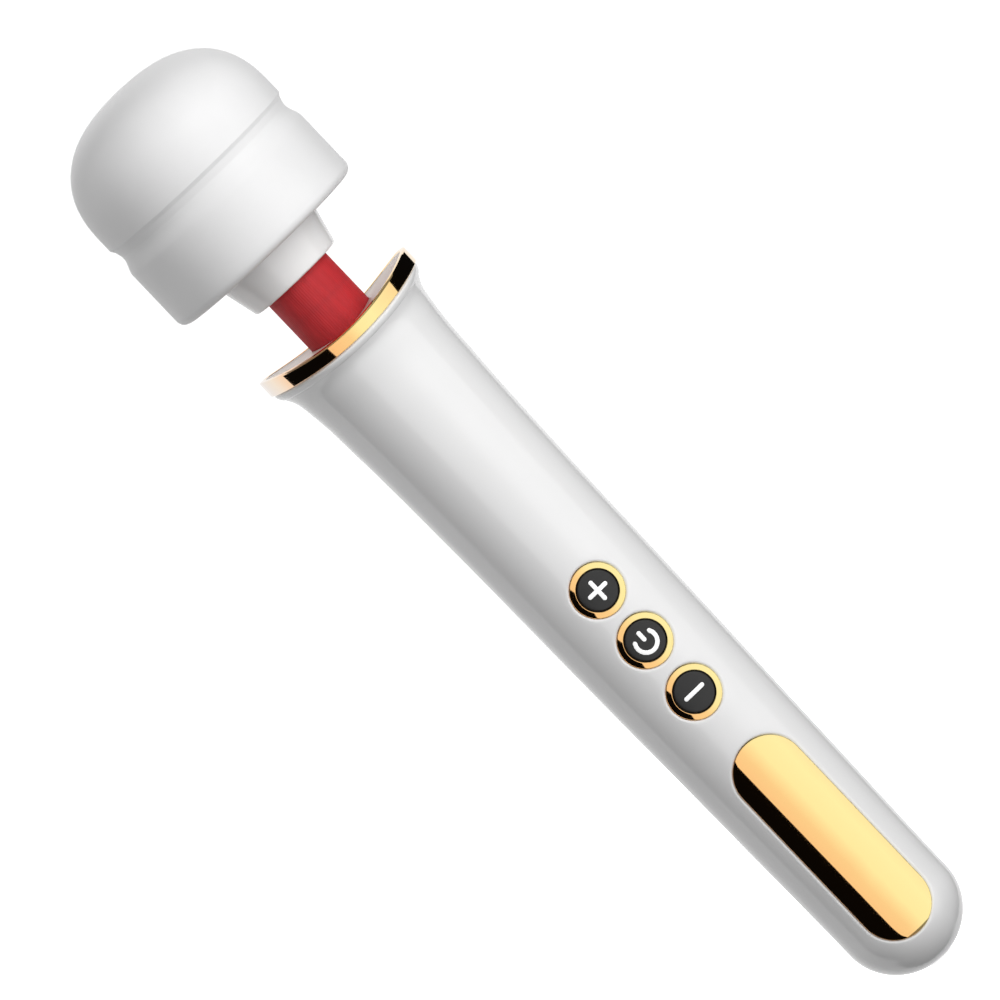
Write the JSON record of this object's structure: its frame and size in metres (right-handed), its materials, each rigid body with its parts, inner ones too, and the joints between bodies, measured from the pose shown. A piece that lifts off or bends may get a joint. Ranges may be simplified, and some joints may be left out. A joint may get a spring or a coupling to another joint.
{
  "type": "wand massager",
  "caption": "Cordless wand massager: round silicone head on a flexible sprung neck, flared slim handle with ringed push buttons and a polished oval front plate.",
  "frame": {"origin": "the bottom of the butt, on the wand's axis", "axes": "+Z along the wand from the butt to the head; the buttons and the oval plate face -Y; +X to the right seen from the front"},
  "size_m": [0.0622, 0.0622, 0.32],
  "materials": {
    "white_gloss": "injection moulded, polished gloss",
    "white_silicone": "satin moulded silicone",
    "red_silicone": "satin silicone with fine lengthwise lines",
    "gold_mirror": "mirror-bright gold plating",
    "champagne": "pale champagne satin",
    "charcoal": "fine satin with white printed marks",
    "black_plastic": "moulded",
    "grey_plastic": "moulded",
    "steel": "zinc-plated and machined",
    "bronze": "sintered",
    "magnet": "sintered ferrite",
    "board": "green solder mask",
    "cell": "blue shrink wrap",
    "black_rubber": "flexible sheath",
    "red_wire": "flexible sheath"
  },
  "bodies": {
    "handle": {"front_shell": "white_gloss", "back_shell": "white_gloss", "collar_ring": "gold_mirror", "mouth_deck": "champagne", "neck_base": "grey_plastic", "neck_base_screw_a": "steel", "neck_base_screw_b": "steel", "neck_base_screw_c": "steel", "neck_base_screw_d": "steel", "panel_plate": "gold_mirror", "button_ring_minus": "gold_mirror", "button_ring_power": "gold_mirror", "button_ring_plus": "gold_mirror", "circuit_board": "board", "control_chip": "black_plastic", "board_screw_a": "steel", "board_screw_b": "steel", "switch_minus": "black_plastic", "switch_power": "black_plastic", "switch_plus": "black_plastic", "battery_cell": "cell", "battery_cage": "grey_plastic", "battery_lead_positive": "red_wire", "battery_lead_negative": "black_rubber", "charging_jack": "black_plastic", "charge_lead": "black_rubber", "lead_handle": "black_rubber", "shell_screw_a": "steel", "shell_screw_b": "steel", "screw_plug_a": "white_gloss", "screw_plug_b": "white_gloss"},
    "button_minus": {"button_cap_minus": "charcoal", "plunger_minus": "black_plastic"},
    "button_power": {"button_cap_power": "charcoal", "plunger_power": "black_plastic"},
    "button_plus": {"button_cap_plus": "charcoal", "plunger_plus": "black_plastic"},
    "neck": {"neck_sleeve": "red_silicone", "neck_spring": "steel", "lead_neck": "black_rubber"},
    "head": {"head_cover": "white_silicone", "head_dome": "grey_plastic", "head_base": "grey_plastic", "head_collar": "white_gloss", "motor_mount": "black_rubber", "motor_mount_screw_a": "steel", "motor_mount_screw_b": "steel", "motor_mount_screw_c": "steel", "motor_can": "steel", "motor_end_cap": "black_plastic", "motor_magnet_a": "magnet", "motor_magnet_b": "magnet", "shaft_bush": "bronze", "lead_head": "black_rubber"},
    "rotor": {"motor_armature": "steel", "motor_shaft": "steel", "eccentric_weight": "steel"}
  },
  "joints": [
    {"name": "neck_pitch", "type": "hinge", "parent": "handle", "child": "neck", "pos_m": [0, 0, 0.242], "axis": [1, 0, 0], "range_deg": [-20, 20], "stiffness_Nm_per_rad": 1.2, "deforming": ["neck_sleeve", "neck_spring", "lead_neck"]},
    {"name": "neck_roll", "type": "hinge", "parent": "neck", "child": "head", "pos_m": [0, 0, 0.242], "axis": [0, 1, 0], "range_deg": [-20, 20], "stiffness_Nm_per_rad": 1.2},
    {"name": "rotor_spin", "type": "hinge", "parent": "head", "child": "rotor", "pos_m": [0, 0, 0.29], "axis": [0, 0, 1], "continuous": true},
    {"name": "press_minus", "type": "slide", "parent": "handle", "child": "button_minus", "axis": [0, 1, 0], "range_m": [0, 0.0006], "stiffness_N_per_m": 1200, "springref_m": -0.0003},
    {"name": "press_power", "type": "slide", "parent": "handle", "child": "button_power", "axis": [0, 1, 0], "range_m": [0, 0.0006], "stiffness_N_per_m": 1200, "springref_m": -0.0003},
    {"name": "press_plus", "type": "slide", "parent": "handle", "child": "button_plus", "axis": [0, 1, 0], "range_m": [0, 0.0006], "stiffness_N_per_m": 1200, "springref_m": -0.0003}
  ]
}
